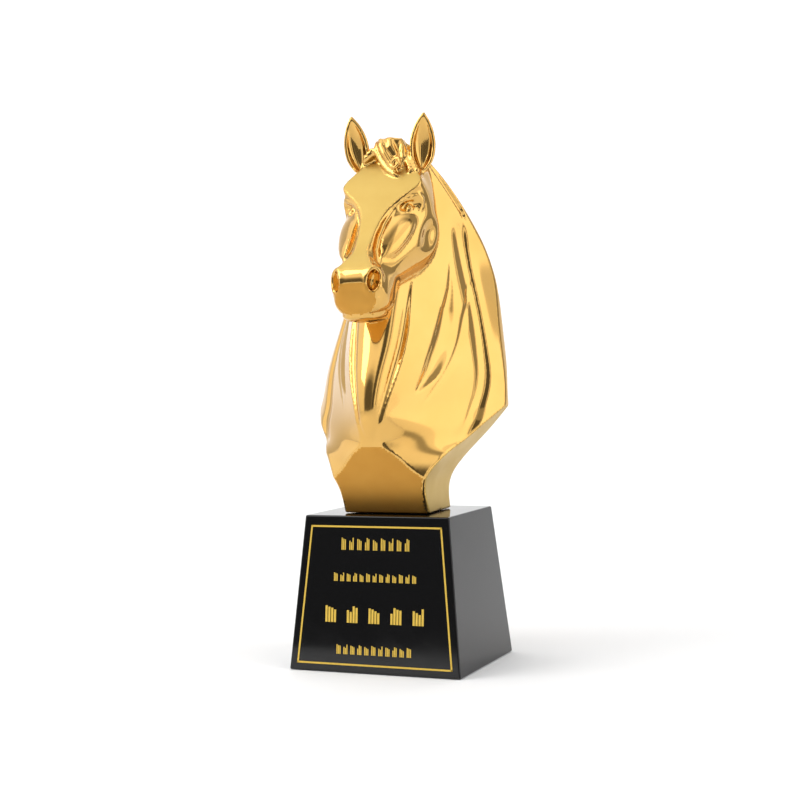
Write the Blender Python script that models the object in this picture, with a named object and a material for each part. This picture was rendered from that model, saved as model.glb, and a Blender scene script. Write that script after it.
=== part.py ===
"""A horse trophy: a polished gold horse bust on a black glass plinth.

Metres, +Z up. The origin is the middle of the plinth's underside, and the horse looks along -Y.
The bust is one casting. Its form is a field, a distance that is negative inside, joined from a
neck with flared sides, a head, ears and a forelock. A grid is wrapped around the field's zero
surface and is then thinned to a faceted solid.
"""

import bmesh
import bpy
import numpy as np

# Plinth
plinthHeight = 0.080
plinthFootWidth = 0.0955
plinthFootDepth = 0.0797
plinthTopWidth = 0.0807
plinthTopDepth = 0.0636
plinthBevel = 0.0008

# Bust: its height drives the whole form, and a thin gap keeps it off the plinth
bustHeight = 0.2105
seatGap = 0.0003
bustTriangles = 9300

# The form is drawn in carving units, shares of the bust's height that are 1 mm at the real size
carvingHeight = 210.5
wrapCell = 1.3
wrapLow = (-58.0, -64.0, -3.0)
wrapHigh = (58.0, 50.0, 214.0)


def spline(*rows):
    """A natural cubic spline through (position, value) rows, straight beyond its ends."""
    at, value = np.array(rows, float).T
    step = np.diff(at)
    rise = np.diff(value) / step
    count = len(at)
    system = np.eye(count)
    right = np.zeros(count)
    for i in range(1, count - 1):
        system[i, i - 1:i + 2] = step[i - 1], 2 * (step[i - 1] + step[i]), step[i]
        right[i] = 6 * (rise[i] - rise[i - 1])
    bend = np.linalg.solve(system, right)
    firstSlope = rise[0] - step[0] * bend[1] / 6
    lastSlope = rise[-1] + step[-1] * bend[-2] / 6

    def evaluate(u):
        i = np.clip(np.searchsorted(at, u) - 1, 0, count - 2)
        h = step[i]
        a = np.clip(u, at[0], at[-1]) - at[i]
        slope = rise[i] - h * (2 * bend[i] + bend[i + 1]) / 6
        inside = value[i] + a * (slope + a * (bend[i] / 2 + a * (bend[i + 1] - bend[i]) / (6 * h)))
        below = np.minimum(u - at[0], 0) * firstSlope
        above = np.maximum(u - at[-1], 0) * lastSlope
        return inside + below + above
    return evaluate


def join(a, b, fillet):
    """The union of two fields, with its seam filled over about the fillet's width."""
    h = np.maximum(fillet - np.abs(a - b), 0) / fillet
    return np.minimum(a, b) - h * h * fillet / 4


def trim(a, b, rounding):
    """What two fields share, with its edge rounded."""
    return -join(-a, -b, rounding)


def cut(a, b, rounding):
    """The first field without the second."""
    return trim(a, -b, rounding)


def egg(p, middle, radii, power=2.0):
    """An ellipsoid, boxier for a larger power."""
    total = 0
    for along, centre, radius in zip(p, middle, radii):
        total = total + np.abs((along - centre) / radius) ** power
    return (total ** (1 / power) - 1) * min(radii)


def turned(p, middle, ahead, up):
    """p as (side, up, ahead) in a frame at a middle point."""
    ahead = np.array(ahead, float)
    ahead = ahead / np.linalg.norm(ahead)
    side = np.cross(ahead, up)
    side = side / np.linalg.norm(side)
    top = np.cross(side, ahead)
    q = [along - centre for along, centre in zip(p, middle)]
    return [q[0] * axis[0] + q[1] * axis[1] + q[2] * axis[2] for axis in (side, top, ahead)]


def rope(p, *rows):
    """A tapering rope through (x, y, z, radius) rows."""
    rows = np.array(rows, float)
    best = None
    for start, end in zip(rows, rows[1:]):
        d = end[:3] - start[:3]
        q = [along - centre for along, centre in zip(p, start)]
        t = np.clip((q[0] * d[0] + q[1] * d[1] + q[2] * d[2]) / (d @ d), 0, 1)
        gap = np.sqrt((q[0] - t * d[0]) ** 2 + (q[1] - t * d[1]) ** 2 + (q[2] - t * d[2]) ** 2)
        reach = gap - start[3] - t * (end[3] - start[3])
        best = reach if best is None else np.minimum(best, reach)
    return best


# Neck: half widths and depths by height above the foot
footFlare = spline((0, 22.7), (10, 22.5), (18, 24.1), (27, 29.6), (36, 37.6), (44.5, 45.8), (54, 54.4),
                   (62, 62))
flareTaper = 0.04
capeEdge = spline((40, 55.6), (57, 54.2), (74, 52.4), (88, 49.8), (101, 47.2), (118, 44.2), (140, 38.6),
                  (154, 33.4), (170, 26), (184, 17.5), (197, 7))
napeLine = spline((0, 18), (18, 18), (27, 21.5), (36, 24.5), (45, 25.5), (55, 25.5), (74, 30), (88, 34.5),
                  (101, 38.5), (118, 41), (140, 38), (154, 32.5), (170, 24), (184, 15), (196, 7))
napeCrown = spline((0, 0), (18, 0), (50, 3), (90, 6), (130, 7), (160, 5), (190, 1))
archFoot = -18.5
archLean = 0.49
valleyHalf = spline((10, 33), (17, 26.8), (23, 20), (27, 15.8), (30.2, 13), (33.6, 9), (37, 6), (40, 5.4),
                    (46, 6.1), (53, 7.5), (73, 11.5), (86, 13.9), (102, 14.6), (118, 14.5), (135, 13.5),
                    (150, 12.5), (170, 11))
valleyDepth = spline((10, -23.4), (17, -26.8), (23, -29.8), (27, -31.7), (30.2, -33.3), (33.6, -35),
                     (37, -35.7), (40, -36.4), (46, -37.8), (53, -37.3), (73, -33), (86, -27.6),
                     (102, -21.3), (118, -14), (135, -7), (150, -2), (170, 0))
sideSlope = spline((0, 2.1), (18, 1.8), (27, 1.5), (35, 1.22), (44.5, 1.0), (54, 0.85), (73, 0.72),
                   (86, 0.66), (102, 0.6), (118, 0.58), (140, 0.62), (154, 0.72), (170, 0.8), (190, 0.9))
throatSwell = spline((10, -1.5), (30, -1.5), (34, -1), (37, -0.1), (40, 0.7), (46, 2.1), (53, 3.6),
                     (73, 5), (102, 6.5), (140, 8))
throatTop = 160
fillDepth = spline((26, 0), (30, 0.1), (33.6, 1), (37, 2.2), (40, 2.1), (46, 0.9), (54, 0), (60, 0))
fillWidth = spline((26, 20), (33.6, 25), (40, 33), (46, 43), (54, 55))
troughSide = spline((42, 5.2), (50, 6.6), (60, 8.8), (73.7, 12), (90, 14.4), (112, 15.6), (124, 16.4))
troughFront = spline((42, -39), (50, -38.6), (60, -36.6), (73.7, -32.3), (90, -26), (112, -18.2),
                     (124, -12.5))
troughRadius = spline((40, 0), (44, 0.7), (50, 1.4), (60, 2.1), (73.7, 2.8), (90, 3.2), (112, 3.2),
                      (124, 3))
troughTop = 128
throatHalf = spline((10, 3), (32, 3.6), (40, 4.6), (53, 6.6), (73, 9.6), (86, 11.6), (102, 13), (140, 14))
neckTop = 196

# Flutes down the neck: their middles and half widths by height, and how deep they go
longFlute = (spline((52, -30), (61, -23), (65, -19.5), (71.4, -14.3), (79, -10), (89, -4.2), (99, 0.9),
                    (106, 4.2), (116, 8.9), (132, 14), (140, 17)),
             spline((56, 0.4), (61, 0.8), (65, 2.8), (71.4, 5.6), (79, 6.8), (89, 7.2), (99, 6.2),
                    (106, 4.8), (116, 2.6), (132, 0.6), (140, 0.3)), 60, 134, 2)
shortFlute = (spline((50, -24), (54, -21), (66, -11.3), (79, -1.2), (92, 7), (103, 13), (111, 17.6),
                     (123, 23.6), (130, 26)),
              spline((50, 0.4), (54, 0.6), (66, 2), (79, 3), (92, 3), (103, 2.8), (111, 2), (123, 0.7),
                     (130, 0.3)), 54, 125, 1.2)
ridgeLine = spline((40, -3), (48.4, 3.4), (62.3, 12.1), (80.8, 16.9), (100, 21.2), (123.5, 24.3),
                   (143.6, 25.2), (165, 22), (185, 14))
ridgeStep = 0.9
ridgeHollow = 1.3
ridgeHollowHalf = 3.4


def fade(u, low, high, width):
    """One between low and high, falling smoothly to nothing over the width outside them."""
    rise = np.clip((u - low) / width, 0, 1)
    fall = np.clip((high - u) / width, 0, 1)
    return rise * rise * (3 - 2 * rise) * fall * fall * (3 - 2 * fall)


def sideCarving(y, z):
    """How far the carved side of the neck lies behind its plain side."""
    depth = 0
    for middle, half, low, high, deep in (longFlute, shortFlute):
        reach = np.maximum(half(z), 0.3)
        across = np.clip(np.abs(y - middle(z)) / reach, 0, 1)
        depth = depth + deep * np.minimum(reach / 5, 1) * (1 - across ** 2) ** 2 * fade(z, low, high, 6)
    past = y - ridgeLine(z)
    shown = fade(z, 33, 158, 14)
    hollow = ridgeHollow * np.exp(-((past + 3) / ridgeHollowHalf) ** 2)
    step = ridgeStep * np.clip(0.5 + past / 1.2, 0, 1) * np.clip(1 - past / 16, 0, 1)
    return depth + shown * (hollow - step)


def neckForm(x, y, z):
    ax = np.abs(x)
    p = (ax, y, z)
    slope = sideSlope(z)
    vx = valleyHalf(z)
    vy = valleyDepth(z)
    across = np.clip((y - vy) / fillWidth(z), 0, 1)
    fill = np.where((z > 26) & (z < 60), fillDepth(z), 0) * np.sin(np.pi * across)
    side = (ax - vx - slope * (y - vy)) / np.sqrt(1 + slope ** 2) + sideCarving(y, z) - fill
    wedge = trim(side, vy - y, 0.8)
    swell = throatSwell(z) + 3
    half = throatHalf(z)
    throat = np.sqrt((ax / half) ** 2 + (np.minimum(y - vy - 3, 0) / swell) ** 2) - 1
    throat = trim(throat * np.minimum(half, swell), y - vy - 12, 1)
    throat = trim(throat, z - throatTop, 8)
    trough = np.sqrt((ax - troughSide(z)) ** 2 + (y - troughFront(z)) ** 2) - troughRadius(z)
    trough = trim(0.9 * trough, z - troughTop, 4)
    body = join(cut(wedge, trough, 0.5), throat, 0.5)
    flare = 0.8 * (ax - footFlare(z) - flareTaper * (22 - y))
    cape = 0.97 * (ax - capeEdge(z))
    arch = (archFoot - archLean * z - y) / np.sqrt(1 + archLean ** 2)
    body = trim(body, trim(flare, cape, 0.6), 0.6)
    body = trim(body, trim(flare, arch, 2.4), 0.5)
    across = np.clip(x / np.maximum(capeEdge(z), 8), -1, 1)
    locks = 0.8 * np.cos(5 * np.pi * across) * (1 - across ** 2) * fade(z, 62, 186, 30)
    nape = 0.95 * (y - napeLine(z) - napeCrown(z) * (1 - across ** 2) - locks)
    body = trim(body, nape, 3)
    body = trim(body, z - neckTop, 6)
    maneSeam = rope(p, (17, 9.5, 186, 1.5), (23, 16.5, 174, 1.7), (29, 23, 161, 1.2), (33, 28, 147, 0.1))
    return cut(body, maneSeam, 0.5)


# Head: profiles along the face, from the poll down to the lips, and depths behind the face
poll = (4.2, 194.2)
faceRun = (-0.625, -0.781)
faceLine = spline((-6, 9), (0, 3.2), (8, 0.6), (20, -0.3), (32, -0.2), (60, 0.4), (80, 0.2), (88, 0.2),
                  (96, 3.5), (104, 10))
jawLine = spline((-6, 12), (4, 20), (19, 29), (30, 37), (42, 41), (53, 40), (64, 34.5), (75, 28.5),
                 (84, 25.5), (94, 24))
faceHalf = spline((-4, 9), (6, 12.5), (20, 17.8), (31.5, 21.4), (35, 18.2), (42.9, 10.6), (53, 6),
                  (64, 4.1), (71, 3.5), (77, 4.2), (83, 7.5), (88, 9.5), (96, 11))
cheekHalf = spline((-4, 12), (8, 17.5), (20, 22), (30, 23.8), (42, 24.4), (53, 23.2), (64, 19.4),
                   (75, 15.8), (84, 14.2), (94, 13.5))
jawHalf = spline((0, 8), (30, 18), (53, 17.5), (75, 12), (94, 9))
cheekShare = 0.5
jawLip = 0.9


def alongFace(y, z):
    """How far a point lies down the face from the poll, and how far behind the face."""
    dy = y - poll[0]
    dz = z - poll[1]
    return faceRun[0] * dy + faceRun[1] * dz, faceRun[0] * dz - faceRun[1] * dy


def skullForm(ax, s, n):
    front = faceLine(s)
    back = jawLine(s)
    share = (n - front) / (back - front)
    face = faceHalf(s)
    cheek = cheekHalf(s)
    jaw = jawHalf(s)
    rising = np.sin(np.pi / 2 * np.clip(share / cheekShare, 0, 1))
    falling = 1 - np.clip((share - cheekShare) / (1 - cheekShare), 0, 1.2) ** 2
    half = np.where(share < cheekShare, face + (cheek - face) * rising, jaw + (cheek - jaw) * falling)
    half = half + jawLip * np.exp(-((back - n - 1.2) / 1.2) ** 2)
    skull = trim(0.8 * (ax - half), front - n, 0.6)
    skull = trim(skull, 0.9 * (n - back), 1.6)
    skull = trim(skull, s - 95, 3)
    return trim(skull, -2 - s, 8)


def headForm(x, y, z):
    ax = np.abs(x)
    s, n = alongFace(y, z)
    p = (ax, s, n)
    head = skullForm(ax, s, n)
    jowl = egg(p, (13.5, 43, 24), (12, 16.5, 14), 2.2)
    head = join(head, jowl, 3)
    jowlHollow = egg(p, (29, 50, 20), (7, 13, 8))
    head = cut(head, jowlHollow, 3)
    bridgeGroove = rope(p, (10.6, 46, 1.8, 0.8), (7.6, 55, 2.4, 1.6), (6.7, 64, 2.8, 1.9),
                        (7.1, 72, 3, 1.9), (9.3, 79, 3.6, 1.4), (12, 83, 5, 0.5))
    cheekBone = egg(turned(p, (12.6, 60, 6.6), (0.444, 0.004, -0.896), (-0.25, 0.957, -0.12)), (0, 0, 0),
                    (7.2, 17.5, 3.6), 2.2)
    head = cut(join(head, cheekBone, 1.6), bridgeGroove, 0.6)
    brow = rope(p, (9.8, 44.5, 0.9, 0.4), (14.7, 40, 2.8, 1), (18, 36.4, 3.6, 1.4), (20.4, 34.2, 4.6, 1.6),
                (21.4, 34.8, 7, 1.6), (21.2, 37.4, 9.2, 1.3), (20.2, 41, 10.4, 0.8), (19, 45, 11.4, 0.2))
    head = join(head, brow, 0.9)
    socket = egg(turned(p, (16.6, 41.4, 4.6), (0.55, 0.1, -0.83), (0.6, -0.65, 0.45)), (0, 0, 0),
                 (2.5, 5.2, 2.4))
    head = cut(head, socket, 0.7)
    head = join(head, egg(p, (16.6, 41.8, 6.6), (2.1, 2.3, 2.1)), 0.4)
    return cut(head, egg(p, (17.4, 41.8, 4.7), (1, 1, 1)), 0.2)


def muzzleForm(head, x, y, z):
    p = (np.abs(x), y, z)
    s, n = alongFace(y, z)
    muzzle = egg(p, (0, -38.8, 114), (14.6, 14.4, 12.6), 2.9)
    muzzle = trim(muzzle, faceLine(s) - n, 1.2)
    lipPanel = -52.7 - y - 0.2 * (z - 112)
    muzzle = trim(muzzle, lipPanel, 2.5)
    chin = egg(p, (0, -38.4, 104.8), (11.4, 12.2, 6.2), 2.6)
    muzzle = join(muzzle, chin, 0.6)
    head = join(head, muzzle, 3)
    q = turned(p, (10.3, -50.3, 119.4), (0.55, -0.83, 0.05), (0.24, 0, 0.97))
    head = join(head, egg(q, (0, 0, -1.6), (5.1, 7.8, 3.6)), 0.9)
    head = cut(head, egg(q, (0.2, 0, 1.8), (3.2, 5.6, 6.2)), 0.6)
    mouth = rope(p, (0, -50.8, 102.2, 0.8), (6, -49.6, 102, 0.8), (10.4, -45.6, 103, 0.8),
                 (12.8, -39.8, 104.6, 0.8), (14.2, -34, 108.5, 0.8), (14.6, -28, 113, 0.7),
                 (14.6, -22, 118, 0.3))
    return cut(head, mouth, 0.4)


# Ears: half widths and depths by share of the ear's height
earHeight = 33
earHalf = spline((-0.2, -2.5), (0, 0.4), (0.16, 4.4), (0.36, 6.7), (0.52, 6.8), (0.72, 5.4), (0.88, 3),
                 (1, 0.4), (1.2, -3.4))
earBack = spline((-0.2, 9), (0, 9), (0.3, 7.5), (0.6, 5.4), (1, 2), (1.2, 0.5))
earRim = 1.9


def earForms(x, y, z):
    """The ears' outer form and the hollow in their fronts. The horse's right ear turns outwards less."""
    farEar = turned((-x, y, z), (19.4, -2.6, 194.4), (-0.1, -1, 0.02), (0.16, 0, 1))
    nearEar = turned((x, y, z), (19.2, -3, 192.8), (0.42, -0.9, 0.02), (0.06, 0, 1))
    side, up, ahead = [np.where(x < 0, far, near) for far, near in zip(farEar, nearEar)]
    share = np.clip(up / earHeight + 0.5, -0.2, 1.2)
    half = earHalf(share)
    squash = np.maximum(half, 0.4) / earBack(share)
    outer = np.sqrt(side ** 2 + (np.minimum(ahead, 0) * squash) ** 2) - half
    outer = trim(outer, ahead - 0.8, 1.2)
    hollow = np.sqrt(side ** 2 + (np.minimum(ahead - 1, 0) * squash * 1.25) ** 2) - half + earRim
    return 0.85 * outer, 0.85 * hollow


# Forelock: locks as ropes from the tuft between the ears, a ring curl, and rows of small curls as beads
locks = [[(-3, -3.4, 190, 4), (1, -5.4, 185.6, 3.8), (4.6, -7.8, 180.6, 2.8)],
         [(8, -1.6, 189, 2.4), (12.4, -4.6, 183.6, 2.2), (15.8, -8.4, 178.4, 1.4)],
         [(-6.6, -3.4, 194.6, 1.2), (-6.4, -5.6, 190.6, 1.7), (-3.8, -6.4, 186.4, 1.7),
          (-1, -7.6, 182.4, 1.7), (2.4, -9.4, 179, 1.6), (6.2, -10.9, 176.6, 1.4), (8.4, -11.6, 175.6, 0.8)],
         [(-4.2, -4.4, 196.4, 1.4), (-2.6, -6.8, 192.8, 2.2), (-0.2, -7.8, 188.4, 2.4),
          (2.4, -8.6, 184.4, 2.2), (4.6, -9.6, 180.6, 1.8), (6, -10.6, 177.6, 1)],
         [(1, -3.6, 195.6, 3.2), (2.4, -6, 191.6, 2.8), (4.6, -7, 188.6, 1.8), (6.2, -7.8, 186, 0.7)],
         [(6.6, -3, 195.4, 1.4), (8.2, -4, 191.4, 2), (9, -5.2, 187, 1.7), (8.8, -7.2, 182.4, 1.2),
          (8, -8.8, 179.4, 0.6)],
         [(-19.2, -4.4, 181.8, 1), (-16.4, -4.2, 184.2, 1.6), (-13, -4.2, 186.4, 1.9), (-9, -4.8, 189, 1.8)]]
ringCurl = ((6.8, -10.4, 182.8), 2.1, 2.9, 0.95)
tuftTop = 197.4
curlRows = [((-17.4, -5, 184.8), (-9, -5.6, 191), 5, 1.3), ((8.6, -3.2, 188.6), (14.6, -9.6, 178), 7, 1.4),
            ((12, -3.2, 188), (18, -8.6, 178.4), 6, 1.4)]


def forelockForm(x, y, z):
    p = (x, y, z)
    form = egg(p, (0, -0.6, 190.6), (8.4, 6, 7.6), 3)
    for lock in locks:
        form = join(form, rope(p, *lock), 0.4)
    middle, across, tall, radius = ringCurl
    side, up, ahead = turned(p, middle, (-0.3, -1, 0.5), (0, 0, 1))
    around = np.sqrt((side / across) ** 2 + (up / tall) ** 2)
    ring = np.sqrt(((around - 1) * (across + tall) / 2) ** 2 + ahead ** 2) - radius
    form = join(form, ring, 0.3)
    for start, end, count, radius in curlRows:
        for step in np.linspace(0, 1, count):
            middle = np.array(start) * (1 - step) + np.array(end) * step
            form = join(form, egg(p, middle, (radius, radius, radius)), 0.3)
    return trim(form, z - tuftTop, 1.6)


def bustForm(x, y, z):
    """The whole bust's field, in carving units above the bust's foot."""
    head = muzzleForm(headForm(x, y, z), x, y, z)
    form = join(neckForm(x, y, z), head, 0.6)
    form = join(form, forelockForm(x, y, z), 0.8)
    outer, hollow = earForms(x, y, z)
    form = join(form, outer, 1.6)
    form = cut(form, hollow, 0.4)
    return np.maximum(form, -z)


def wrapField(low, high, step):
    """A closed skin around the field, made of the slices that it cuts through the grid's tetrahedra."""
    axes = [np.arange(a, b, step) for a, b in zip(low, high)]
    counts = [len(axis) for axis in axes]
    field = bustForm(*np.meshgrid(*axes, indexing="ij"))
    inside = field < 0
    cubes = sum(inside[i:i + counts[0] - 1, j:j + counts[1] - 1, k:k + counts[2] - 1].astype(int)
                for i in (0, 1) for j in (0, 1) for k in (0, 1))
    crossed = np.argwhere((cubes > 0) & (cubes < 8))
    strides = np.array([counts[1] * counts[2], counts[2], 1])
    cubeCorners = [strides @ (c & 1, c >> 1 & 1, c >> 2) for c in range(8)]
    rims = [(1, 3), (3, 2), (2, 6), (6, 4), (4, 5), (5, 1)]
    firstCorner = (crossed @ strides)[:, None]
    tetrahedra = np.concatenate([firstCorner + [cubeCorners[c] for c in (0, a, b, 7)] for a, b in rims])
    field = field.ravel()
    inside = inside.ravel()[tetrahedra]
    slices = []
    for order in ((0, 1, 2, 3), (1, 0, 3, 2), (2, 0, 1, 3), (3, 0, 2, 1)):
        for side, turn in ((True, (1, 2, 3)), (False, (1, 3, 2))):
            lone = (inside[:, order[0]] == side) & ((inside == side).sum(1) == 1)
            rows = tetrahedra[lone]
            slices.append(np.stack([rows[:, (order[0], order[c])] for c in turn], 1))
    for a, b, c, d in ((0, 1, 2, 3), (0, 2, 3, 1), (0, 3, 1, 2), (1, 2, 0, 3), (1, 3, 2, 0), (2, 3, 0, 1)):
        rows = tetrahedra[inside[:, a] & inside[:, b] & (inside.sum(1) == 2)]
        for turn in (((a, d), (b, d), (b, c)), ((a, d), (b, c), (a, c))):
            slices.append(np.stack([rows[:, edge] for edge in turn], 1))
    edges = np.sort(np.concatenate(slices).reshape(-1, 2), 1)
    edges, faces = np.unique(edges, axis=0, return_inverse=True)
    ends = np.stack(np.unravel_index(edges, counts), 2)
    share = field[edges[:, 0]] / (field[edges[:, 0]] - field[edges[:, 1]])
    corners = ends[:, 0] + (ends[:, 1] - ends[:, 0]) * share[:, None]
    return corners * step + np.array(low), faces.reshape(-1, 3)


def settle(points, rounds=4, probe=0.05, reach=0.4):
    """Points moved onto the field's surface, a short way at a time."""
    for _ in range(rounds):
        value = bustForm(*points.T)
        slope = np.stack([bustForm(*(points + probe * axis).T) - value for axis in np.eye(3)], 1) / probe
        steep = np.maximum((slope ** 2).sum(1), 0.2)
        points = points - slope * np.clip(value / steep, -reach, reach)[:, None]
    return points


def material(name, color, metallic, roughness):
    """A plain Principled material."""
    made = bpy.data.materials.new(name)
    made.use_nodes = True
    shader = made.node_tree.nodes["Principled BSDF"]
    shader.inputs["Base Color"].default_value = (*color, 1)
    shader.inputs["Metallic"].default_value = metallic
    shader.inputs["Roughness"].default_value = roughness
    return made


def addObject(name, mesh, finish):
    """A named object of the mesh, in its material."""
    mesh.materials.append(finish)
    made = bpy.data.objects.new(name, mesh)
    bpy.context.scene.collection.objects.link(made)
    return made


def makePlinth():
    """A block that tapers upwards, with narrow bevels on all its edges."""
    bm = bmesh.new()
    rings = []
    for width, depth, z in ((plinthFootWidth, plinthFootDepth, 0),
                            (plinthTopWidth, plinthTopDepth, plinthHeight)):
        rings.append([bm.verts.new((sx * width / 2, sy * depth / 2, z))
                      for sx, sy in ((-1, -1), (1, -1), (1, 1), (-1, 1))])
    bm.faces.new(rings[0][::-1])
    bm.faces.new(rings[1])
    for i in range(4):
        j = (i + 1) % 4
        bm.faces.new((rings[0][i], rings[0][j], rings[1][j], rings[1][i]))
    bmesh.ops.bevel(bm, geom=bm.edges[:], offset=plinthBevel, segments=1, affect="EDGES")
    mesh = bpy.data.meshes.new("plinth")
    bm.to_mesh(mesh)
    bm.free()
    addObject("plinth", mesh, material("black_glass", (0.012, 0.012, 0.013), 0, 0.06))


def makeBust():
    """The bust's skin, settled on the field and thinned."""
    corners, faces = wrapField(wrapLow, wrapHigh, wrapCell)
    corners = settle(corners) * bustHeight / carvingHeight
    corners[:, 2] += plinthHeight + seatGap
    mesh = bpy.data.meshes.new("horse_bust")
    mesh.from_pydata(corners.tolist(), [], faces.tolist())
    mesh.shade_smooth()
    bust = addObject("horse_bust", mesh, material("polished_gold", (0.80, 0.52, 0.16), 1, 0.12))
    thin = bust.modifiers.new("Decimate", "DECIMATE")
    thin.ratio = bustTriangles / len(faces)


def main():
    for old in list(bpy.data.objects):
        bpy.data.objects.remove(old)
    makePlinth()
    makeBust()


main()
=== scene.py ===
# A gold horse trophy on a black crystal plinth, in a plain bright studio
import math

import bmesh
import bpy
import numpy as np
from mathutils import Matrix, Vector


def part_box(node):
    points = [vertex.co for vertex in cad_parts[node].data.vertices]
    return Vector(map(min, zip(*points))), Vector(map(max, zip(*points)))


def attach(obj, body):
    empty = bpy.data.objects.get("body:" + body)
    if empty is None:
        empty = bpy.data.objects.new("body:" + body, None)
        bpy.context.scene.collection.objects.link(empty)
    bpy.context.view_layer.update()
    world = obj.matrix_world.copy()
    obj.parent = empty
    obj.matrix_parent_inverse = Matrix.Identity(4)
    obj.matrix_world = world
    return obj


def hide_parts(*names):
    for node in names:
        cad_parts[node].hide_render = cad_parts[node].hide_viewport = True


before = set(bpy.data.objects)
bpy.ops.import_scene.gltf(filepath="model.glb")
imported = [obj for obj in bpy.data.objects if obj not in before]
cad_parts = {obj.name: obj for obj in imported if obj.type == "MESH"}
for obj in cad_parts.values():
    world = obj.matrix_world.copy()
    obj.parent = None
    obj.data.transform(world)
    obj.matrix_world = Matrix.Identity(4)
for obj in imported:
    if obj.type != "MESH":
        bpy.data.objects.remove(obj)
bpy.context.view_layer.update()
mm = 0.001

# The photograph's camera, fitted to the corners of the plinth that show
camera = {
    "azimuth": 23.19,
    "elevation": 1.01,
    "roll": -1.36,
    "distance": 786.1 * mm,
    "target": (1.5 * mm, 0, 138.8 * mm),
    "focalLength": 66.5,
    "sensorWidth": 36,
    "clipStart": 0.05,
}

studio = {
    "floorHeight": -0.2 * mm,
    "floorWidth": 6.0,
    "floorNear": -3.0,
    "floorFar": 2.2,
    "wallHeight": 3.0,
    "wallBend": 1.2,
    "bendSteps": 12,
    "paper": "FAFAFA",
    "paperRoughness": 0.9,
}

# The plinth's foot and top as widths and depths
plinth = {
    "foot": (95.5 * mm, 79.7 * mm),
    "top": (80.7 * mm, 63.6 * mm),
    "height": 80 * mm,
    "bevel": 0.9 * mm,
}


# One function turns a colour as a user picks it into what a node needs
def hexColor(text):
    channels = [int(text[i:i + 2], 16) / 255 for i in (0, 2, 4)]
    return [c / 12.92 if c <= 0.04045 else ((c + 0.055) / 1.055) ** 2.4 for c in channels] + [1]


# Adds one node with its settings, its socket values and its links
def addNode(tree, kind, settings=None, inputs=None, links=None):
    node = tree.nodes.new(kind)
    for name, value in (settings or {}).items():
        setattr(node, name, value)
    for name, value in (inputs or {}).items():
        node.inputs[name].default_value = value
    for name, source in (links or {}).items():
        tree.links.new(source, node.inputs[name])
    return node


def newMaterial(name):
    made = bpy.data.materials.new(name)
    made.use_nodes = True
    return made, made.node_tree.nodes["Principled BSDF"]


# Gold plate over a hand-worked casting, with faint soft patches in its tint and its gloss
def makeGoldPlate(name):
    gold = golds[name]
    made, shader = newMaterial(name)
    tree = made.node_tree
    place = addNode(tree, "ShaderNodeTexCoord")
    patches = addNode(tree, "ShaderNodeTexNoise", None,
                      {"Scale": 1 / (gold["patch"] * mm), "Detail": 3.0, "Roughness": 0.5},
                      {"Vector": place.outputs["Object"]})
    tint = addNode(tree, "ShaderNodeMix", {"data_type": "RGBA"},
                   {6: hexColor(gold["color"]), 7: hexColor(gold["deep"])},
                   {0: patches.outputs["Fac"]})
    gloss = addNode(tree, "ShaderNodeMapRange", None,
                    {"From Min": 0.35, "From Max": 0.75, "To Min": gold["roughness"],
                     "To Max": gold["roughness"] + gold["haze"]}, {"Value": patches.outputs["Fac"]})
    shader.inputs["Metallic"].default_value = 1
    tree.links.new(tint.outputs[2], shader.inputs["Base Color"])
    tree.links.new(gloss.outputs["Result"], shader.inputs["Roughness"])
    return made


golds = {
    "polished_gold_plate": {
        "color": "DFB469", "deep": "D4A558", "roughness": 0.06, "haze": 0.06, "patch": 22},
    "satin_gold_plate": {
        "color": "C6A85E", "deep": "C0A056", "roughness": 0.38, "haze": 0.08, "patch": 12},
    # satin gold in a darker, more orange tint: painted shade for the front- and down-facing arch and lip
    # panel
    "satin_gold_plate_painted_shade": {
        "color": "CE9A48", "deep": "C69040", "roughness": 0.5, "haze": 0.06, "patch": 12},
}


# Black crystal: opaque optical glass, ground flat and polished, a near mirror with a trace of haze
def makeBlackCrystal():
    crystal = {"color": "0A0A0B", "roughness": 0.03, "haze": 0.05, "patch": 30 * mm, "ior": 1.47}
    made, shader = newMaterial("black_crystal")
    tree = made.node_tree
    place = addNode(tree, "ShaderNodeTexCoord")
    haze = addNode(tree, "ShaderNodeTexNoise", None,
                   {"Scale": 1 / crystal["patch"], "Detail": 5.0, "Roughness": 0.6},
                   {"Vector": place.outputs["Object"]})
    gloss = addNode(tree, "ShaderNodeMapRange", None,
                    {"From Min": 0.4, "From Max": 0.7, "To Min": crystal["roughness"],
                     "To Max": crystal["roughness"] + crystal["haze"]}, {"Value": haze.outputs["Fac"]})
    shader.inputs["Base Color"].default_value = hexColor(crystal["color"])
    shader.inputs["IOR"].default_value = crystal["ior"]
    tree.links.new(gloss.outputs["Result"], shader.inputs["Roughness"])
    return made


# Gilt: thick gold paint on the glass, a little rough and uneven
def makeGilt():
    gilt = {"color": "F2CF5A", "worn": "E2B848", "roughness": 0.35, "metallic": 0.4, "grain": 1.2 * mm}
    made, shader = newMaterial("gilt_fill")
    tree = made.node_tree
    place = addNode(tree, "ShaderNodeTexCoord")
    grain = addNode(tree, "ShaderNodeTexNoise", None,
                    {"Scale": 1 / gilt["grain"], "Detail": 2.0}, {"Vector": place.outputs["Object"]})
    tint = addNode(tree, "ShaderNodeMix", {"data_type": "RGBA"},
                   {6: hexColor(gilt["color"]), 7: hexColor(gilt["worn"])}, {0: grain.outputs["Fac"]})
    bump = addNode(tree, "ShaderNodeBump", None, {"Strength": 0.3, "Distance": 0.05 * mm},
                   {"Height": grain.outputs["Fac"]})
    shader.inputs["Metallic"].default_value = gilt["metallic"]
    shader.inputs["Roughness"].default_value = gilt["roughness"]
    tree.links.new(tint.outputs[2], shader.inputs["Base Color"])
    tree.links.new(bump.outputs["Normal"], shader.inputs["Normal"])
    return made


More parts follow.
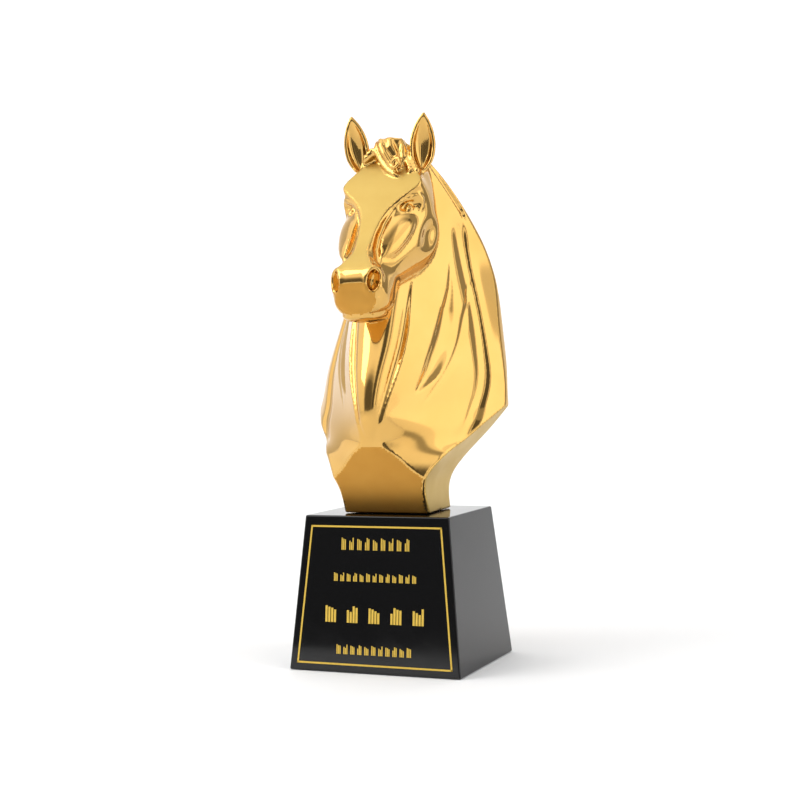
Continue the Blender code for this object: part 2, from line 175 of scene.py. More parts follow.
# A natural cubic spline through (position, value) rows, straight beyond its ends
def spline(*rows):
    at, value = np.array(rows, float).T
    step = np.diff(at)
    rise = np.diff(value) / step
    count = len(at)
    system = np.eye(count)
    right = np.zeros(count)
    for i in range(1, count - 1):
        system[i, i - 1:i + 2] = step[i - 1], 2 * (step[i - 1] + step[i]), step[i]
        right[i] = 6 * (rise[i] - rise[i - 1])
    bend = np.linalg.solve(system, right)
    firstSlope = rise[0] - step[0] * bend[1] / 6
    lastSlope = rise[-1] + step[-1] * bend[-2] / 6

    def evaluate(u):
        i = np.clip(np.searchsorted(at, u) - 1, 0, count - 2)
        h = step[i]
        a = np.clip(u, at[0], at[-1]) - at[i]
        slope = rise[i] - h * (2 * bend[i] + bend[i + 1]) / 6
        inside = value[i] + a * (slope + a * (bend[i] / 2 + a * (bend[i + 1] - bend[i]) / (6 * h)))
        below = np.minimum(u - at[0], 0) * firstSlope
        above = np.maximum(u - at[-1], 0) * lastSlope
        return inside + below + above
    return evaluate


# The union of two fields, with its seam filled over about the fillet's width
def join(a, b, fillet):
    h = np.maximum(fillet - np.abs(a - b), 0) / fillet
    return np.minimum(a, b) - h * h * fillet / 4


# What two fields share, with its edge rounded
def trim(a, b, rounding):
    return -join(-a, -b, rounding)


# The first field without the second
def cut(a, b, rounding):
    return trim(a, -b, rounding)


# An ellipsoid, boxier for a larger power
def egg(p, middle, radii, power=2.0):
    total = 0
    for along, centre, radius in zip(p, middle, radii):
        total = total + np.abs((along - centre) / radius) ** power
    return (total ** (1 / power) - 1) * min(radii)


# p as (side, up, ahead) in a frame at a middle point
def turned(p, middle, ahead, up):
    ahead = np.array(ahead, float)
    ahead = ahead / np.linalg.norm(ahead)
    side = np.cross(ahead, up)
    side = side / np.linalg.norm(side)
    top = np.cross(side, ahead)
    q = [along - centre for along, centre in zip(p, middle)]
    return [q[0] * axis[0] + q[1] * axis[1] + q[2] * axis[2] for axis in (side, top, ahead)]


# A tapering rope through (x, y, z, radius) rows
def rope(p, *rows):
    rows = np.array(rows, float)
    best = None
    for start, end in zip(rows, rows[1:]):
        d = end[:3] - start[:3]
        q = [along - centre for along, centre in zip(p, start)]
        t = np.clip((q[0] * d[0] + q[1] * d[1] + q[2] * d[2]) / (d @ d), 0, 1)
        gap = np.sqrt((q[0] - t * d[0]) ** 2 + (q[1] - t * d[1]) ** 2 + (q[2] - t * d[2]) ** 2)
        reach = gap - start[3] - t * (end[3] - start[3])
        best = reach if best is None else np.minimum(best, reach)
    return best


# Neck: half widths and depths by height above the foot, in carving units that are 1 mm here.
# Many of these rows are places in the photograph, read through its camera
footFlare = spline((0, 22.7), (10, 22.5), (18, 24.1), (27, 29.6), (36, 37.6), (44.5, 45.8), (54, 54.4),
                   (62, 62))
flareTaper = 0.04
capeEdge = spline((40, 55.6), (57, 54.2), (74, 52.4), (88, 49.8), (101, 47.2), (118, 44.2), (140, 38.6),
                  (154, 33.4), (170, 26), (184, 17.5), (197, 7))
napeLine = spline((0, 18), (18, 18), (27, 21.5), (36, 24.5), (45, 25.5), (55, 25.5), (74, 30), (88, 34.5),
                  (101, 38.5), (118, 41), (140, 38), (154, 32.5), (170, 24), (184, 15), (196, 7))
napeCrown = spline((0, 0), (18, 0), (50, 3), (90, 6), (130, 7), (160, 5), (190, 1))
archFoot = -18.5
archLean = 0.49
valleyHalf = spline((10, 33), (17, 26.8), (23, 20), (27, 15.8), (30.2, 13), (33.6, 9), (37, 6), (40, 5.4),
                    (46, 6.1), (53, 7.5), (73, 11.5), (86, 13.9), (102, 14.6), (118, 14.5), (135, 13.5),
                    (150, 12.5), (170, 11))
valleyDepth = spline((10, -23.4), (17, -26.8), (23, -29.8), (27, -31.7), (30.2, -33.3), (33.6, -35),
                     (37, -35.7), (40, -36.4), (46, -37.8), (53, -37.3), (73, -33), (86, -27.6),
                     (102, -21.3), (118, -14), (135, -7), (150, -2), (170, 0))
sideSlope = spline((0, 2.1), (18, 1.8), (27, 1.5), (35, 1.22), (44.5, 1.0), (54, 0.85), (73, 0.72),
                   (86, 0.66), (102, 0.6), (118, 0.58), (140, 0.62), (154, 0.72), (170, 0.8), (190, 0.9))
throatSwell = spline((10, -1.5), (30, -1.5), (34, -1), (37, -0.1), (40, 0.7), (46, 2.1), (53, 3.6),
                     (73, 5), (102, 6.5), (140, 8))
throatTop = 160
fillDepth = spline((26, 0), (30, 0.1), (33.6, 1), (37, 2.2), (40, 2.1), (46, 0.9), (54, 0), (60, 0))
fillWidth = spline((26, 20), (33.6, 25), (40, 33), (46, 43), (54, 55))
troughSide = spline((42, 5.2), (50, 6.6), (60, 8.8), (73.7, 12), (90, 14.4), (112, 15.6), (124, 16.4))
troughFront = spline((42, -39), (50, -38.6), (60, -36.6), (73.7, -32.3), (90, -26), (112, -18.2),
                     (124, -12.5))
troughRadius = spline((40, 0), (44, 0.7), (50, 1.4), (60, 2.1), (73.7, 2.8), (90, 3.2), (112, 3.2),
                      (124, 3))
troughTop = 128
throatHalf = spline((10, 3), (32, 3.6), (40, 4.6), (53, 6.6), (73, 9.6), (86, 11.6), (102, 13), (140, 14))
neckTop = 196

# Flutes down the neck: their middles and half widths by height, and how deep they go
longFlute = (spline((52, -30), (61, -23), (65, -19.5), (71.4, -14.3), (79, -10), (89, -4.2), (99, 0.9),
                    (106, 4.2), (116, 8.9), (132, 14), (140, 17)),
             spline((56, 0.4), (61, 0.8), (65, 2.8), (71.4, 5.6), (79, 6.8), (89, 7.2), (99, 6.2),
                    (106, 4.8), (116, 2.6), (132, 0.6), (140, 0.3)), 60, 134, 2)
shortFlute = (spline((50, -24), (54, -21), (66, -11.3), (79, -1.2), (92, 7), (103, 13), (111, 17.6),
                     (123, 23.6), (130, 26)),
              spline((50, 0.4), (54, 0.6), (66, 2), (79, 3), (92, 3), (103, 2.8), (111, 2), (123, 0.7),
                     (130, 0.3)), 54, 125, 1.2)
ridgeLine = spline((40, -3), (48.4, 3.4), (62.3, 12.1), (80.8, 16.9), (100, 21.2), (123.5, 24.3),
                   (143.6, 25.2), (165, 22), (185, 14))
ridgeStep = 0.9
ridgeHollow = 1.3
ridgeHollowHalf = 3.4


# One between low and high, falling smoothly to nothing over the width outside them
def fade(u, low, high, width):
    rise = np.clip((u - low) / width, 0, 1)
    fall = np.clip((high - u) / width, 0, 1)
    return rise * rise * (3 - 2 * rise) * fall * fall * (3 - 2 * fall)


# How far the carved side of the neck lies behind its plain side
def sideCarving(y, z):
    depth = 0
    for middle, half, low, high, deep in (longFlute, shortFlute):
        reach = np.maximum(half(z), 0.3)
        across = np.clip(np.abs(y - middle(z)) / reach, 0, 1)
        depth = depth + deep * np.minimum(reach / 5, 1) * (1 - across ** 2) ** 2 * fade(z, low, high, 6)
    past = y - ridgeLine(z)
    shown = fade(z, 33, 158, 14)
    hollow = ridgeHollow * np.exp(-((past + 3) / ridgeHollowHalf) ** 2)
    step = ridgeStep * np.clip(0.5 + past / 1.2, 0, 1) * np.clip(1 - past / 16, 0, 1)
    return depth + shown * (hollow - step)


def neckForm(x, y, z):
    ax = np.abs(x)
    p = (ax, y, z)
    slope = sideSlope(z)
    vx = valleyHalf(z)
    vy = valleyDepth(z)
    across = np.clip((y - vy) / fillWidth(z), 0, 1)
    fill = np.where((z > 26) & (z < 60), fillDepth(z), 0) * np.sin(np.pi * across)
    side = (ax - vx - slope * (y - vy)) / np.sqrt(1 + slope ** 2) + sideCarving(y, z) - fill
    wedge = trim(side, vy - y, 0.8)
    swell = throatSwell(z) + 3
    half = throatHalf(z)
    throat = np.sqrt((ax / half) ** 2 + (np.minimum(y - vy - 3, 0) / swell) ** 2) - 1
    throat = trim(throat * np.minimum(half, swell), y - vy - 12, 1)
    throat = trim(throat, z - throatTop, 8)
    trough = np.sqrt((ax - troughSide(z)) ** 2 + (y - troughFront(z)) ** 2) - troughRadius(z)
    trough = trim(0.9 * trough, z - troughTop, 4)
    body = join(cut(wedge, trough, 0.5), throat, 0.5)
    flare = 0.8 * (ax - footFlare(z) - flareTaper * (22 - y))
    cape = 0.97 * (ax - capeEdge(z))
    arch = (archFoot - archLean * z - y) / np.sqrt(1 + archLean ** 2)
    body = trim(body, trim(flare, cape, 0.6), 0.6)
    body = trim(body, trim(flare, arch, 2.4), 0.5)
    across = np.clip(x / np.maximum(capeEdge(z), 8), -1, 1)
    locks = 0.8 * np.cos(5 * np.pi * across) * (1 - across ** 2) * fade(z, 62, 186, 30)
    nape = 0.95 * (y - napeLine(z) - napeCrown(z) * (1 - across ** 2) - locks)
    body = trim(body, nape, 3)
    body = trim(body, z - neckTop, 6)
    maneSeam = rope(p, (17, 9.5, 186, 1.5), (23, 16.5, 174, 1.7), (29, 23, 161, 1.2), (33, 28, 147, 0.1))
    return cut(body, maneSeam, 0.5)


# Head: profiles along the face, from the poll down to the lips, and depths behind the face
poll = (4.2, 194.2)
faceRun = (-0.625, -0.781)
faceLine = spline((-6, 9), (0, 3.2), (8, 0.6), (20, -0.3), (32, -0.2), (60, 0.4), (80, 0.2), (88, 0.2),
                  (96, 3.5), (104, 10))
jawLine = spline((-6, 12), (4, 20), (19, 29), (30, 37), (42, 41), (53, 40), (64, 34.5), (75, 28.5),
                 (84, 25.5), (94, 24))
faceHalf = spline((-4, 9), (6, 12.5), (20, 17.8), (31.5, 21.4), (35, 18.2), (42.9, 10.6), (53, 6),
                  (64, 4.1), (71, 3.5), (77, 4.2), (83, 7.5), (88, 9.5), (96, 11))
cheekHalf = spline((-4, 12), (8, 17.5), (20, 22), (30, 23.8), (42, 24.4), (53, 23.2), (64, 19.4),
                   (75, 15.8), (84, 14.2), (94, 13.5))
jawHalf = spline((0, 8), (30, 18), (53, 17.5), (75, 12), (94, 9))
cheekShare = 0.5
jawLip = 0.9


# How far a point lies down the face from the poll, and how far behind the face
def alongFace(y, z):
    dy = y - poll[0]
    dz = z - poll[1]
    return faceRun[0] * dy + faceRun[1] * dz, faceRun[0] * dz - faceRun[1] * dy


def skullForm(ax, s, n):
    front = faceLine(s)
    back = jawLine(s)
    share = (n - front) / (back - front)
    face = faceHalf(s)
    cheek = cheekHalf(s)
    jaw = jawHalf(s)
    rising = np.sin(np.pi / 2 * np.clip(share / cheekShare, 0, 1))
    falling = 1 - np.clip((share - cheekShare) / (1 - cheekShare), 0, 1.2) ** 2
    half = np.where(share < cheekShare, face + (cheek - face) * rising, jaw + (cheek - jaw) * falling)
    half = half + jawLip * np.exp(-((back - n - 1.2) / 1.2) ** 2)
    skull = trim(0.8 * (ax - half), front - n, 0.6)
    skull = trim(skull, 0.9 * (n - back), 1.6)
    skull = trim(skull, s - 95, 3)
    return trim(skull, -2 - s, 8)


def headForm(x, y, z):
    ax = np.abs(x)
    s, n = alongFace(y, z)
    p = (ax, s, n)
    head = skullForm(ax, s, n)
    jowl = egg(p, (13.5, 43, 24), (12, 16.5, 14), 2.2)
    head = join(head, jowl, 3)
    jowlHollow = egg(p, (29, 50, 20), (7, 13, 8))
    head = cut(head, jowlHollow, 3)
    bridgeGroove = rope(p, (10.6, 46, 1.8, 0.8), (7.6, 55, 2.4, 1.6), (6.7, 64, 2.8, 1.9),
                        (7.1, 72, 3, 1.9), (9.3, 79, 3.6, 1.4), (12, 83, 5, 0.5))
    cheekBone = egg(turned(p, (12.6, 60, 6.6), (0.444, 0.004, -0.896), (-0.25, 0.957, -0.12)), (0, 0, 0),
                    (7.2, 17.5, 3.6), 2.2)
    head = cut(join(head, cheekBone, 1.6), bridgeGroove, 0.6)
    brow = rope(p, (9.8, 44.5, 0.9, 0.4), (14.7, 40, 2.8, 1), (18, 36.4, 3.6, 1.4), (20.4, 34.2, 4.6, 1.6),
                (21.4, 34.8, 7, 1.6), (21.2, 37.4, 9.2, 1.3), (20.2, 41, 10.4, 0.8), (19, 45, 11.4, 0.2))
    head = join(head, brow, 0.9)
    socket = egg(turned(p, (16.6, 41.4, 4.6), (0.55, 0.1, -0.83), (0.6, -0.65, 0.45)), (0, 0, 0),
                 (2.5, 5.2, 2.4))
    head = cut(head, socket, 0.7)
    head = join(head, egg(p, (16.6, 41.8, 6.6), (2.1, 2.3, 2.1)), 0.4)
    return cut(head, egg(p, (17.4, 41.8, 4.7), (1, 1, 1)), 0.2)


def muzzleForm(head, x, y, z):
    p = (np.abs(x), y, z)
    s, n = alongFace(y, z)
    muzzle = egg(p, (0, -38.8, 114), (14.6, 14.4, 12.6), 2.9)
    muzzle = trim(muzzle, faceLine(s) - n, 1.2)
    lipPanel = -52.7 - y - 0.2 * (z - 112)
    muzzle = trim(muzzle, lipPanel, 2.5)
    chin = egg(p, (0, -38.4, 104.8), (11.4, 12.2, 6.2), 2.6)
    muzzle = join(muzzle, chin, 0.6)
    head = join(head, muzzle, 3)
    q = turned(p, (10.3, -50.3, 119.4), (0.55, -0.83, 0.05), (0.24, 0, 0.97))
    head = join(head, egg(q, (0, 0, -1.6), (5.1, 7.8, 3.6)), 0.9)
    head = cut(head, egg(q, (0.2, 0, 1.8), (3.2, 5.6, 6.2)), 0.6)
    mouth = rope(p, (0, -50.8, 102.2, 0.8), (6, -49.6, 102, 0.8), (10.4, -45.6, 103, 0.8),
                 (12.8, -39.8, 104.6, 0.8), (14.2, -34, 108.5, 0.8), (14.6, -28, 113, 0.7),
                 (14.6, -22, 118, 0.3))
    return cut(head, mouth, 0.4)


# Ears: half widths and depths by share of the ear's height
earHeight = 33
earHalf = spline((-0.2, -2.5), (0, 0.4), (0.16, 4.4), (0.36, 6.7), (0.52, 6.8), (0.72, 5.4), (0.88, 3),
                 (1, 0.4), (1.2, -3.4))
earBack = spline((-0.2, 9), (0, 9), (0.3, 7.5), (0.6, 5.4), (1, 2), (1.2, 0.5))
earRim = 1.9


# The ears' outer form and the hollow in their fronts. The horse's right ear turns outwards less
def earForms(x, y, z):
    farEar = turned((-x, y, z), (19.4, -2.6, 194.4), (-0.1, -1, 0.02), (0.16, 0, 1))
    nearEar = turned((x, y, z), (19.2, -3, 192.8), (0.42, -0.9, 0.02), (0.06, 0, 1))
    side, up, ahead = [np.where(x < 0, far, near) for far, near in zip(farEar, nearEar)]
    share = np.clip(up / earHeight + 0.5, -0.2, 1.2)
    half = earHalf(share)
    squash = np.maximum(half, 0.4) / earBack(share)
    outer = np.sqrt(side ** 2 + (np.minimum(ahead, 0) * squash) ** 2) - half
    outer = trim(outer, ahead - 0.8, 1.2)
    hollow = np.sqrt(side ** 2 + (np.minimum(ahead - 1, 0) * squash * 1.25) ** 2) - half + earRim
    return 0.85 * outer, 0.85 * hollow


# Forelock: locks as ropes from the tuft between the ears, a ring curl, and rows of small curls as beads
locks = [[(-3, -3.4, 190, 4), (1, -5.4, 185.6, 3.8), (4.6, -7.8, 180.6, 2.8)],
         [(8, -1.6, 189, 2.4), (12.4, -4.6, 183.6, 2.2), (15.8, -8.4, 178.4, 1.4)],
         [(-6.6, -3.4, 194.6, 1.2), (-6.4, -5.6, 190.6, 1.7), (-3.8, -6.4, 186.4, 1.7),
          (-1, -7.6, 182.4, 1.7), (2.4, -9.4, 179, 1.6), (6.2, -10.9, 176.6, 1.4), (8.4, -11.6, 175.6, 0.8)],
         [(-4.2, -4.4, 196.4, 1.4), (-2.6, -6.8, 192.8, 2.2), (-0.2, -7.8, 188.4, 2.4),
          (2.4, -8.6, 184.4, 2.2), (4.6, -9.6, 180.6, 1.8), (6, -10.6, 177.6, 1)],
         [(1, -3.6, 195.6, 3.2), (2.4, -6, 191.6, 2.8), (4.6, -7, 188.6, 1.8), (6.2, -7.8, 186, 0.7)],
         [(6.6, -3, 195.4, 1.4), (8.2, -4, 191.4, 2), (9, -5.2, 187, 1.7), (8.8, -7.2, 182.4, 1.2),
          (8, -8.8, 179.4, 0.6)],
         [(-19.2, -4.4, 181.8, 1), (-16.4, -4.2, 184.2, 1.6), (-13, -4.2, 186.4, 1.9), (-9, -4.8, 189, 1.8)]]
ringCurl = ((6.8, -10.4, 182.8), 2.1, 2.9, 0.95)
tuftTop = 197.4
curlRows = [((-17.4, -5, 184.8), (-9, -5.6, 191), 5, 1.3), ((8.6, -3.2, 188.6), (14.6, -9.6, 178), 7, 1.4),
            ((12, -3.2, 188), (18, -8.6, 178.4), 6, 1.4)]


def forelockForm(x, y, z):
    p = (x, y, z)
    form = egg(p, (0, -0.6, 190.6), (8.4, 6, 7.6), 3)
    for lock in locks:
        form = join(form, rope(p, *lock), 0.4)
    middle, across, tall, radius = ringCurl
    side, up, ahead = turned(p, middle, (-0.3, -1, 0.5), (0, 0, 1))
    around = np.sqrt((side / across) ** 2 + (up / tall) ** 2)
    ring = np.sqrt(((around - 1) * (across + tall) / 2) ** 2 + ahead ** 2) - radius
    form = join(form, ring, 0.3)
    for start, end, count, radius in curlRows:
        for step in np.linspace(0, 1, count):
            middle = np.array(start) * (1 - step) + np.array(end) * step
            form = join(form, egg(p, middle, (radius, radius, radius)), 0.3)
    return trim(form, z - tuftTop, 1.6)


# The whole bust's field, in carving units above the bust's foot
def bustForm(x, y, z):
    head = muzzleForm(headForm(x, y, z), x, y, z)
    form = join(neckForm(x, y, z), head, 0.6)
    form = join(form, forelockForm(x, y, z), 0.8)
    outer, hollow = earForms(x, y, z)
    form = join(form, outer, 1.6)
    form = cut(form, hollow, 0.4)
    return np.maximum(form, -z)


# Moves points onto the form's surface, a short way at a time
def settle(points, rounds=6, probe=0.04, reach=0.35):
    for _ in range(rounds):
        value = bustForm(*points.T)
        slope = np.stack([bustForm(*(points + probe * axis).T) - value for axis in np.eye(3)], 1) / probe
        steep = np.maximum((slope ** 2).sum(1), 0.2)
        points = points - slope * np.clip(value / steep, -reach, reach)[:, None]
    return points


# A merged copy of a CAD node's mesh, ready to be shaped
def copyNode(node, name):
    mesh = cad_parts[node].data.copy()
    mesh.name = name
    bm = bmesh.new()
    bm.from_mesh(mesh)
    bmesh.ops.remove_doubles(bm, verts=bm.verts, dist=0.001 * mm)
    bm.to_mesh(mesh)
    bm.free()
    made = bpy.data.objects.new(name, mesh)
    bpy.context.scene.collection.objects.link(made)
    return made


# The object's mesh with its modifiers applied
def applyModifiers(made):
    graph = bpy.context.evaluated_depsgraph_get()
    mesh = bpy.data.meshes.new_from_object(made.evaluated_get(graph), depsgraph=graph)
    made.modifiers.clear()
    made.data = mesh


def wear(made, material):
    made.data.materials.clear()
    made.data.materials.append(material)


# Which gold each face wears, by its middle and its normal:
# most are polished, the forehead and shoulder facets are satin, and the arch and lip panel wear satin gold
# with painted shade
def chooseFinish(points, normals):
    x, y, z = points.T
    s, n = alongFace(y, z)
    faceOut = np.array((0, faceRun[1], -faceRun[0]))
    forehead = (np.abs(n - faceLine(s)) < 0.5) & (normals @ faceOut > 0.96) & (s > 3) & (s < 88)
    archOut = np.array((0, -1, -archLean)) / math.hypot(1, archLean)
    arch = (np.abs(archFoot - archLean * z - y) < 0.4) & (normals @ archOut > 0.98) & (z < 40)
    lipOut = np.array((0, -0.981, -0.196))
    panel = (normals @ lipOut > 0.8) & (y < -45) & (z > 102.5) & (z < 118)
    shoulder = (np.abs(np.abs(x) - footFlare(z) - flareTaper * (22 - y)) < 0.4) & (z < 62)
    # 2 is the satin gold with painted shade, on the arch and lip panel
    return np.where(arch | panel, 2, np.where(forehead | shoulder, 1, 0)).astype(np.int32)


# The bust: the CAD node's mesh remeshed more finely, settled on the field, kept in the node's box
def makeBust():
    bust = {"node": "horse_bust", "remesh": 0.9 * mm}
    low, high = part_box(bust["node"])
    made = copyNode(bust["node"], "gold_bust")
    remesh = made.modifiers.new("Remesh", "REMESH")
    remesh.mode = "VOXEL"
    remesh.voxel_size = bust["remesh"]
    applyModifiers(made)
    mesh = made.data
    points = np.empty(len(mesh.vertices) * 3)
    mesh.vertices.foreach_get("co", points)
    points = points.reshape(-1, 3)
    foot = np.array((0, 0, low[2]))
    points = np.clip(settle((points - foot) / mm) * mm + foot, low, high)
    mesh.vertices.foreach_set("co", points.ravel())
    mesh.update()
    mesh.shade_smooth()
    mesh.materials.clear()
    for name in golds:
        mesh.materials.append(makeGoldPlate(name))
    middles = np.empty(len(mesh.polygons) * 3)
    normals = np.empty(len(mesh.polygons) * 3)
    mesh.polygons.foreach_get("center", middles)
    mesh.polygons.foreach_get("normal", normals)
    finish = chooseFinish((middles.reshape(-1, 3) - foot) / mm, normals.reshape(-1, 3))
    mesh.polygons.foreach_set("material_index", finish)
    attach(made, "root")
    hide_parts(bust["node"])
    print("bust:", len(mesh.vertices), "corners")


# The plinth: a cube drawn in towards its top, with rounded edges
def makePlinth(crystal):
    bm = bmesh.new()
    bmesh.ops.create_cube(bm, size=1)
    for corner in bm.verts:
        width, depth = plinth["top"] if corner.co.z > 0 else plinth["foot"]
        corner.co = (corner.co.x * width, corner.co.y * depth, (corner.co.z + 0.5) * plinth["height"])
    bmesh.ops.bevel(bm, geom=bm.edges[:], offset=plinth["bevel"], offset_type="OFFSET", segments=4,
                    profile=0.5, affect="EDGES", material=-1, harden_normals=False)
    for face in bm.faces:
        face.smooth = True
    mesh = bpy.data.meshes.new("crystal_plinth")
    bm.to_mesh(mesh)
    bm.free()
    made = bpy.data.objects.new("crystal_plinth", mesh)
    bpy.context.scene.collection.objects.link(made)
    weigh = made.modifiers.new("Weighted normals", "WEIGHTED_NORMAL")
    weigh.keep_sharp = False
    applyModifiers(made)
    wear(made, crystal)
    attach(made, "root")
    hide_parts("plinth")
    print("plinth done")


# Lays thin shapes, drawn across the front and by height above the floor, on the sloping glass
def layOnFront(bm, name, gilt, lift=0.06 * mm):
    foot = -plinth["foot"][1] / 2
    top = -plinth["top"][1] / 2
    height = plinth["height"]
    lean = math.atan2(top - foot, height)
    outward = Vector((0, -math.cos(lean), math.sin(lean)))
    for corner in bm.verts:
        x, rise, proud = corner.co
        corner.co = Vector((x, foot + (top - foot) * rise / height, rise)) + outward * (proud + lift)
    bmesh.ops.recalc_face_normals(bm, faces=bm.faces)
    mesh = bpy.data.meshes.new(name)
    bm.to_mesh(mesh)
    bm.free()
    made = bpy.data.objects.new(name, mesh)
    bpy.context.scene.collection.objects.link(made)
    wear(made, gilt)
    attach(made, "root")


# A bar from a to b, drawn in the plane of the face
def addBar(bm, a, b, width, thick=0.1 * mm):
    a = Vector((*a, 0))
    b = Vector((*b, 0))
    along = b - a
    turn = Matrix.Rotation(math.atan2(along.y, along.x), 4, "Z")
    stretch = Matrix.Diagonal((along.length + width, width, thick, 1))
    bmesh.ops.create_cube(bm, size=1, matrix=Matrix.Translation((a + b) / 2) @ turn @ stretch)


def makeBorder(gilt):
    # low and high corners of the line's middle: half widths and heights above the floor
    border = {"low": (42.9 * mm, 4.2 * mm), "high": (36.2 * mm, 74.4 * mm), "line": 0.9 * mm}
    bm = bmesh.new()
    corners = [(-border["low"][0], border["low"][1]), (border["low"][0], border["low"][1]),
               (border["high"][0], border["high"][1]), (-border["high"][0], border["high"][1])]
    for a, b in zip(corners, corners[1:] + corners[:1]):
        addBar(bm, a, b, border["line"])
    layOnFront(bm, "gilt_border", gilt)


def makeStrokes(gilt):
    # rows: height above the floor, half length, stroke height,
    # blocks, strokes in a block, their width and gap
    rows = [(65.6, 19, 5.6, 9, 3, 0.6, 0.3), (48.6, 23, 3.8, 13, 3, 0.55, 0.22),
            (29.6, 27.5, 7.2, 5, 4, 1.2, 0.42), (11.8, 20.8, 4.2, 11, 3, 0.6, 0.25)]
    # shares of a row's stroke height, taken in turn
    shares = (1, 0.72, 0.9, 0.6, 0.84)
    bm = bmesh.new()
    for rise, half, tall, blocks, strokes, width, gap in rows:
        pitch = width + gap
        span = strokes * pitch - gap
        for block in range(blocks):
            middle = -half + span / 2 + block * (2 * half - span) / (blocks - 1)
            for stroke in range(strokes):
                x = middle + (stroke - (strokes - 1) / 2) * pitch
                share = shares[(block + 2 * stroke) % len(shares)]
                low = rise - tall / 2
                high = low + tall * share
                addBar(bm, (x * mm, low * mm), (x * mm, high * mm), width * mm)
    layOnFront(bm, "gilt_strokes", gilt)
    print("gilt laid")


def makeFloor():
    bm = bmesh.new()
    bend = studio["wallBend"]
    bendStart = studio["floorFar"] - bend
    profile = [(studio["floorNear"], 0), (bendStart, 0)]
    for i in range(1, studio["bendSteps"] + 1):
        turn = math.radians(90 * i / studio["bendSteps"])
        profile.append((bendStart + bend * math.sin(turn), bend * (1 - math.cos(turn))))
    profile.append((studio["floorFar"], studio["wallHeight"]))
    line = [bm.verts.new((-studio["floorWidth"] / 2, y, z + studio["floorHeight"])) for y, z in profile]
    edges = [bm.edges.new(pair) for pair in zip(line, line[1:])]
    swept = bmesh.ops.extrude_edge_only(bm, edges=edges)
    bmesh.ops.translate(bm, vec=(studio["floorWidth"], 0, 0),
                        verts=[v for v in swept["geom"] if isinstance(v, bmesh.types.BMVert)])
    bmesh.ops.recalc_face_normals(bm, faces=bm.faces)
    # the paper sweep turns with the camera's side, so that its wall stands behind the object
    bmesh.ops.rotate(bm, verts=bm.verts, matrix=Matrix.Rotation(math.radians(camera["azimuth"]), 3, "Z"))
    for face in bm.faces:
        face.smooth = True
    mesh = bpy.data.meshes.new("paper_sweep")
    bm.to_mesh(mesh)
    bm.free()
    made = bpy.data.objects.new("paper_sweep", mesh)
    bpy.context.scene.collection.objects.link(made)
    paper, shader = newMaterial("studio_paper")
    shader.inputs["Base Color"].default_value = hexColor(studio["paper"])
    shader.inputs["Roughness"].default_value = studio["paperRoughness"]
    wear(made, paper)


def addSoftbox(name, azimuth, elevation, distance, size, power, aim=(0, 0, 0.17)):
    light = bpy.data.lights.new(name, "AREA")
    light.shape = "RECTANGLE"
    light.size, light.size_y = size
    light.energy = power
    made = bpy.data.objects.new(name, light)
    a = math.radians(azimuth)
    e = math.radians(elevation)
    back = Vector((math.sin(a) * math.cos(e), -math.cos(a) * math.cos(e), math.sin(e)))
    made.location = Vector(aim) + back * distance
    made.rotation_euler = back.to_track_quat("Z", "Y").to_euler()
    bpy.context.scene.collection.objects.link(made)


# How bright the room is along each direction: dark across an upright strip, one elsewhere
def addDarkStrip(tree, direction, azimuth, inner, outer, darkest):
    a = math.radians(azimuth)
    across = addNode(tree, "ShaderNodeVectorMath", {"operation": "DOT_PRODUCT"},
                     {1: (math.cos(a), math.sin(a), 0)}, {0: direction})
    ahead = addNode(tree, "ShaderNodeVectorMath", {"operation": "DOT_PRODUCT"},
                    {1: (math.sin(a), -math.cos(a), 0)}, {0: direction})
    away = addNode(tree, "ShaderNodeMath", {"operation": "ABSOLUTE"}, None, {0: across.outputs["Value"]})
    beside = addNode(tree, "ShaderNodeMapRange", {"interpolation_type": "SMOOTHSTEP"},
                     {"From Min": inner, "From Max": outer, "To Min": darkest, "To Max": 1.0},
                     {"Value": away.outputs["Value"]})
    behind = addNode(tree, "ShaderNodeMapRange", {"interpolation_type": "SMOOTHSTEP"},
                     {"From Min": 0.0, "From Max": 0.4, "To Min": 1.0, "To Max": darkest},
                     {"Value": ahead.outputs["Value"]})
    return addNode(tree, "ShaderNodeMath", {"operation": "MAXIMUM"}, None,
                   {0: beside.outputs["Result"], 1: behind.outputs["Result"]}).outputs["Value"]


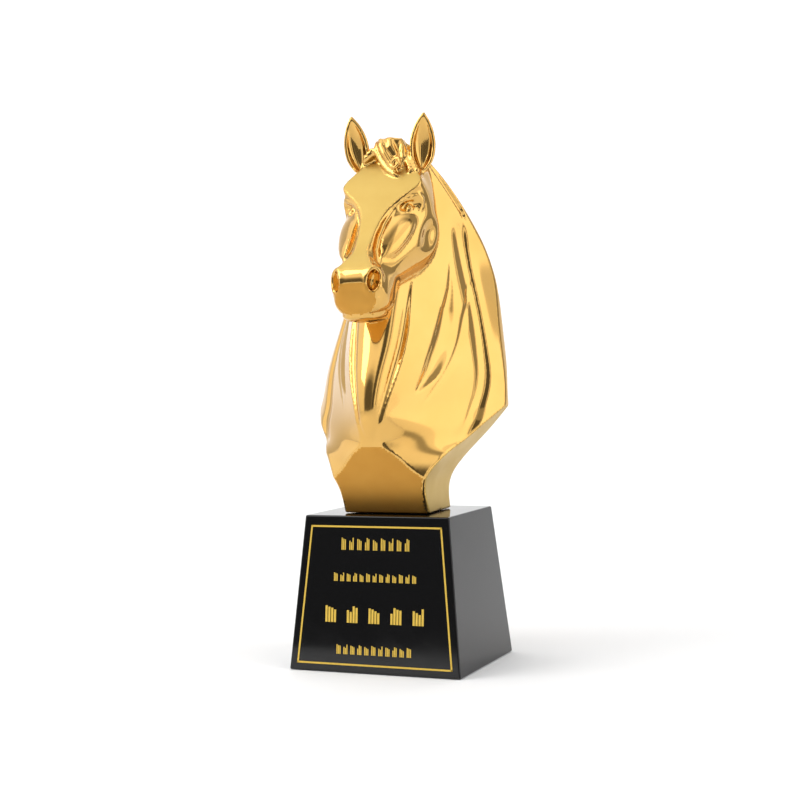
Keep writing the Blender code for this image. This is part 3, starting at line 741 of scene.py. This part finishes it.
def lightStudio():
    # how bright the room is low down, high up and at the front
    room = {"low": 1.1, "high": 1.36, "front": 0.12, "frontAzimuth": -5}
    # azimuth, elevation, distance, size, power: softboxes to the right, the left and overhead
    boxes = {
        "right_softbox": (92, 16, 1.3, (1.1, 1.5), 2.2),
        "left_softbox": (-50, 38, 1.3, (0.6, 0.9), 4.5),
        "top_softbox": (10, 82, 1.3, (1.2, 1.0), 1),
    }
    # azimuth, the strip's inner and outer half widths as sines, its darkest share
    strips = [
        (34, 0.1, 0.2, 0.1), (56, 0.03, 0.08, 0.35), (112, 0.03, 0.08, 0.4), (132, 0.17, 0.28, 0.3)]
    for name, box in boxes.items():
        addSoftbox(name, *box)
    # one more faces away from the object and whitens the sweep behind it
    turn = math.radians(camera["azimuth"])
    wall = Vector((-math.sin(turn), math.cos(turn), 0.45)) * studio["floorFar"]
    addSoftbox("wall_wash", camera["azimuth"], 35, 1.2, (1.8, 0.6), 9, wall)
    world = bpy.data.worlds.new("studio")
    bpy.context.scene.world = world
    world.use_nodes = True
    tree = world.node_tree
    shade = tree.nodes["Background"]
    direction = addNode(tree, "ShaderNodeTexCoord").outputs["Generated"]
    # the room is a little darker below the horizon, and dark round the front, where nothing is lit
    parts = addNode(tree, "ShaderNodeSeparateXYZ", None, None, {"Vector": direction})
    rise = addNode(tree, "ShaderNodeMapRange", {"interpolation_type": "SMOOTHSTEP"},
                   {"From Min": -0.4, "From Max": 0.5, "To Min": room["low"], "To Max": room["high"]},
                   {"Value": parts.outputs["Z"]})
    a = math.radians(room["frontAzimuth"])
    toFront = addNode(tree, "ShaderNodeVectorMath", {"operation": "DOT_PRODUCT"},
                      {1: (math.sin(a), -math.cos(a), 0)}, {0: direction})
    dark = addNode(tree, "ShaderNodeMapRange", {"interpolation_type": "SMOOTHSTEP"},
                   {"From Min": 0.75, "From Max": 0.92, "To Min": 1.0, "To Max": room["front"]},
                   {"Value": toFront.outputs["Value"]})
    level = rise.outputs["Result"]
    for share in [dark.outputs["Result"]] + [addDarkStrip(tree, direction, *strip) for strip in strips]:
        level = addNode(tree, "ShaderNodeMath", {"operation": "MULTIPLY"}, None,
                        {0: level, 1: share}).outputs["Value"]
    tree.links.new(level, shade.inputs["Strength"])
    shade.inputs["Color"].default_value = (1, 1, 1, 1)
    bpy.context.scene.view_settings.view_transform = "Standard"
    print("studio lit")


def placeCamera():
    a = math.radians(camera["azimuth"])
    e = math.radians(camera["elevation"])
    r = math.radians(camera["roll"])
    back = Vector((math.sin(a) * math.cos(e), -math.cos(a) * math.cos(e), math.sin(e)))
    right = Vector((math.cos(a), math.sin(a), 0))
    up = back.cross(right)
    rolledRight = right * math.cos(r) + up * math.sin(r)
    rolledUp = up * math.cos(r) - right * math.sin(r)
    lens = bpy.data.cameras.new("camera")
    lens.sensor_width = camera["sensorWidth"]
    lens.lens = camera["focalLength"]
    lens.clip_start = camera["clipStart"]
    made = bpy.data.objects.new("camera", lens)
    turn = Matrix((rolledRight, rolledUp, back)).transposed()
    place = Vector(camera["target"]) + back * camera["distance"]
    made.matrix_world = Matrix.Translation(place) @ turn.to_4x4()
    bpy.context.scene.collection.objects.link(made)
    bpy.context.scene.camera = made


gilt = makeGilt()
makeBust()
makePlinth(makeBlackCrystal())
makeBorder(gilt)
makeStrokes(gilt)
makeFloor()
lightStudio()
placeCamera()
